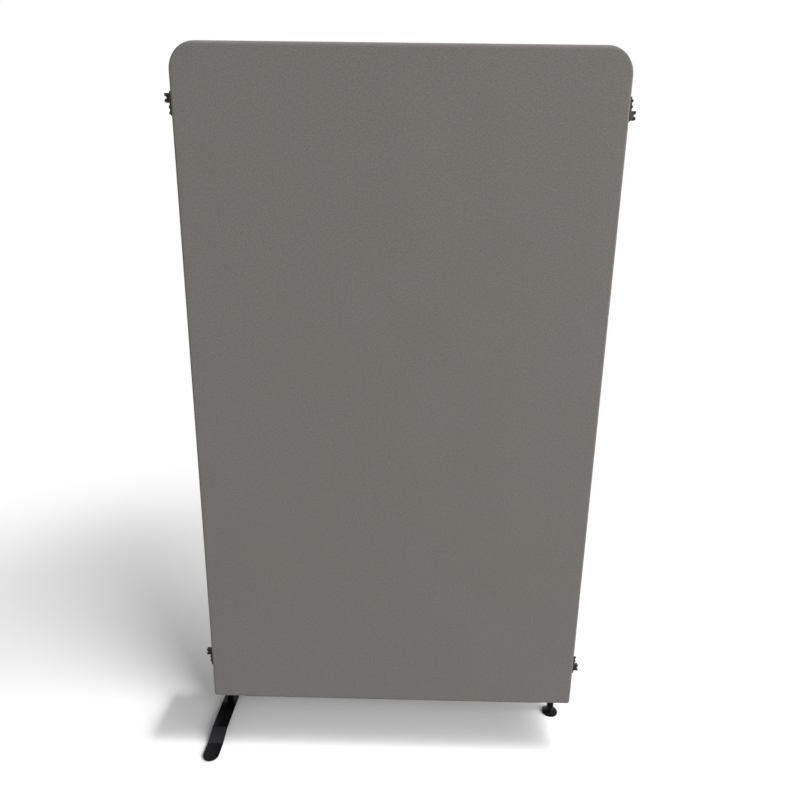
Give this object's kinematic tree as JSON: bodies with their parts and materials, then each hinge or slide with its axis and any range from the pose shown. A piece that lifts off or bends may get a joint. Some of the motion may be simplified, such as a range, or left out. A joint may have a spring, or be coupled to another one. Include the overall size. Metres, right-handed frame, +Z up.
{
  "type": "acoustic divider screen",
  "caption": "Free-standing fabric-covered acoustic panel on a swivelling bar foot and a levelling glide, with clip connectors on both side edges.",
  "frame": {"origin": "on the floor, under the middle of the panel's width and thickness", "axes": "+X to the right seen from the front, +Y to the back, +Z up"},
  "size_m": [1.0322, 0.4, 1.7],
  "materials": {
    "frame_timber": "planed softwood, unfinished",
    "corner_plywood": "birch plywood, sawn edge",
    "dowel_wood": "beech, fluted",
    "absorber": "pressed fibre absorber",
    "wadding": "soft white fibre wadding",
    "cover_fabric": "fine woven warm mid-grey screen fabric, matt",
    "strip_plastic": "extruded black plastic",
    "zinc_screws": "bright zinc plate",
    "black_screws": "black oxide",
    "connector_plastic": "moulded black glass-filled nylon",
    "insert_brass": "turned brass",
    "black_steel": "satin black powder coat",
    "slip_plastic": "black nylon",
    "zinc_steel": "bright zinc plate",
    "pad_rubber": "matt black rubber",
    "glide_plastic": "satin black moulded plastic"
  },
  "bodies": {
    "screen": {"left_stile": "frame_timber", "right_stile": "frame_timber", "top_rail": "frame_timber", "middle_rail": "frame_timber", "bottom_rail": "frame_timber", "left_corner_block": "corner_plywood", "right_corner_block": "corner_plywood", "frame_dowels": "dowel_wood", "upper_core": "absorber", "lower_core": "absorber", "front_wadding": "wadding", "rear_wadding": "wadding", "front_cover": "cover_fabric", "rear_cover": "cover_fabric", "bottom_strip": "strip_plastic", "strip_screws": "zinc_screws", "connector_screws": "black_screws", "left_top_connector": "connector_plastic", "left_bottom_connector": "connector_plastic", "right_top_connector": "connector_plastic", "right_bottom_connector": "connector_plastic", "foot_insert": "insert_brass", "foot_stem": "black_steel", "foot_slip_washer": "slip_plastic", "foot_washer": "zinc_steel", "foot_bolt": "zinc_steel", "glide_insert": "insert_brass", "glide_stem": "black_steel", "glide_lock_nut": "black_screws"},
    "foot": {"foot_bar": "black_steel", "front_toe_pad": "pad_rubber", "rear_toe_pad": "pad_rubber"},
    "glide": {"glide_stud": "black_screws", "glide_disc": "glide_plastic", "glide_pad": "pad_rubber"}
  },
  "joints": [
    {"name": "foot_swivel", "type": "hinge", "parent": "screen", "child": "foot", "pos_m": [-0.46, 0, 0.0155], "axis": [0, 0, 1], "range_deg": [-90, 90]},
    {"name": "glide_height", "type": "slide", "parent": "screen", "child": "glide", "axis": [0, 0, -1], "range_m": [-0.0025, 0.008]}
  ]
}
